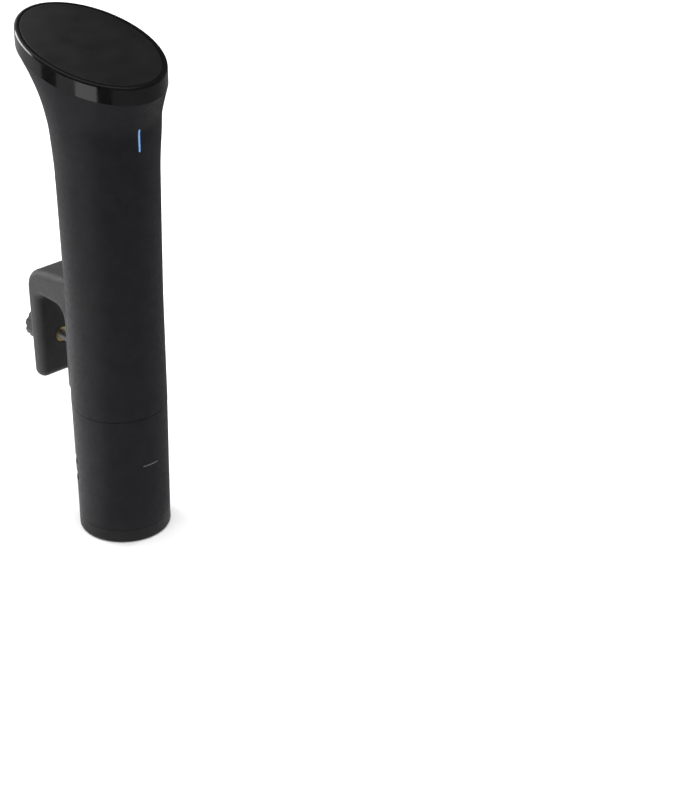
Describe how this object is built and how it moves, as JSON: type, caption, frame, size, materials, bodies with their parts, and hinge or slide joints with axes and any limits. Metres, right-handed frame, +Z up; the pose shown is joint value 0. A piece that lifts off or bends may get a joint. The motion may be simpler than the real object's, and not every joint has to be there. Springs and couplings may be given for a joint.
{
  "type": "sous vide circulator",
  "caption": "Slim upright immersion circulator with a slanted oval touch head, light bar, heater and pump in a slotted skirt, and a screw clamp.",
  "frame": {"origin": "centre of the flat base, on the tube's axis", "axes": "+Z up along the tube, -Y to the front with the light bar, +Y to the clamp"},
  "size_m": [0.0752, 0.1244, 0.3253],
  "materials": {
    "matte_housing": "fine matte texture",
    "skirt_plastic": "fine matte texture",
    "base_plastic": "fine matte texture",
    "bracket_plastic": "matte moulded texture",
    "knob_plastic": "matte moulded texture",
    "knob_cap_plastic": "gloss",
    "gloss_bezel": "piano gloss",
    "satin_panel": "satin hard coat",
    "light_lens": "lit blue diffuser",
    "line_print": "printed line",
    "seal_rubber": "matte rubber",
    "circuit_board": "solder mask",
    "dark_component": "moulded component",
    "relay_case": "moulded component",
    "terminal_plastic": "moulded component",
    "transformer_core": "taped winding",
    "capacitor_can": "sleeved can",
    "copper_pad": "sprung contact",
    "bare_aluminium": "extruded",
    "motor_steel": "plated steel",
    "rotor_steel": "laminated steel",
    "magnet": "ferrite",
    "fastener_steel": "zinc plated",
    "heater_steel": "satin stainless",
    "brass_fitting": "turned brass",
    "bronze_bush": "sintered bronze",
    "inner_plastic": "glass-filled moulding",
    "coupling_plastic": "acetal",
    "impeller_plastic": "acetal"
  },
  "bodies": {
    "housing": {"upper_housing": "matte_housing", "head_bezel": "gloss_bezel", "display_panel": "satin_panel", "panel_gasket": "seal_rubber", "display_board": "circuit_board", "display_module": "dark_component", "touch_pads": "copper_pad", "buzzer": "dark_component", "light_lens": "light_lens", "light_board": "circuit_board", "control_board": "circuit_board", "transformer": "transformer_core", "relay": "relay_case", "terminal_block": "terminal_plastic", "capacitors": "capacitor_can", "heat_sink": "bare_aluminium", "cord_gland": "seal_rubber", "motor_can": "motor_steel", "motor_end_cap": "inner_plastic", "motor_magnets": "magnet", "motor_plate": "motor_steel", "motor_screws": "fastener_steel", "motor_standoffs": "brass_fitting", "bulkhead": "inner_plastic", "spigot_seal": "seal_rubber", "shaft_seal": "seal_rubber", "upper_bushing": "bronze_bush", "bulkhead_screws": "fastener_steel", "heater_tube": "heater_steel", "temperature_probe": "heater_steel", "level_pins": "heater_steel", "support_posts": "heater_steel", "pump_plate": "inner_plastic", "lower_bushing": "bronze_bush", "clamp_bracket": "bracket_plastic", "bracket_screws": "fastener_steel", "clamp_nut": "brass_fitting"},
    "rotor": {"motor_rotor": "rotor_steel", "shaft_coupling": "coupling_plastic", "drive_shaft": "heater_steel", "impeller": "impeller_plastic", "impeller_nut": "fastener_steel"},
    "skirt": {"lower_skirt": "skirt_plastic", "level_line": "line_print"},
    "base": {"base_cap": "base_plastic"},
    "pad": {"pressure_pad": "bracket_plastic", "pad_face": "seal_rubber"},
    "screw": {"clamp_screw": "fastener_steel", "clamp_knob": "knob_plastic", "knob_cap": "knob_cap_plastic"}
  },
  "joints": [
    {"name": "impeller_spin", "type": "hinge", "parent": "housing", "child": "rotor", "pos_m": [0, 0, 0.05], "axis": [0, 0, 1], "continuous": true},
    {"name": "skirt_pull", "type": "slide", "parent": "housing", "child": "skirt", "axis": [0, 0, -1], "range_m": [0, 0.09]},
    {"name": "base_twist", "type": "hinge", "parent": "skirt", "child": "base", "pos_m": [0, 0, 0.01], "axis": [0, 0, 1], "range_deg": [0, 60]},
    {"name": "clamp_screw_turn", "type": "hinge", "parent": "pad", "child": "screw", "pos_m": [0, 0.06, 0.111], "axis": [0, -1, 0], "range_deg": [-3241, 700]},
    {"name": "clamp_pad_slide", "type": "slide", "parent": "housing", "child": "pad", "axis": [0, -1, 0], "range_m": [-0.0135, 0.0029]}
  ],
  "couplings": [
    {"joint": "clamp_screw_turn", "follows": "clamp_pad_slide", "rad_per_m": 4188.8}
  ]
}
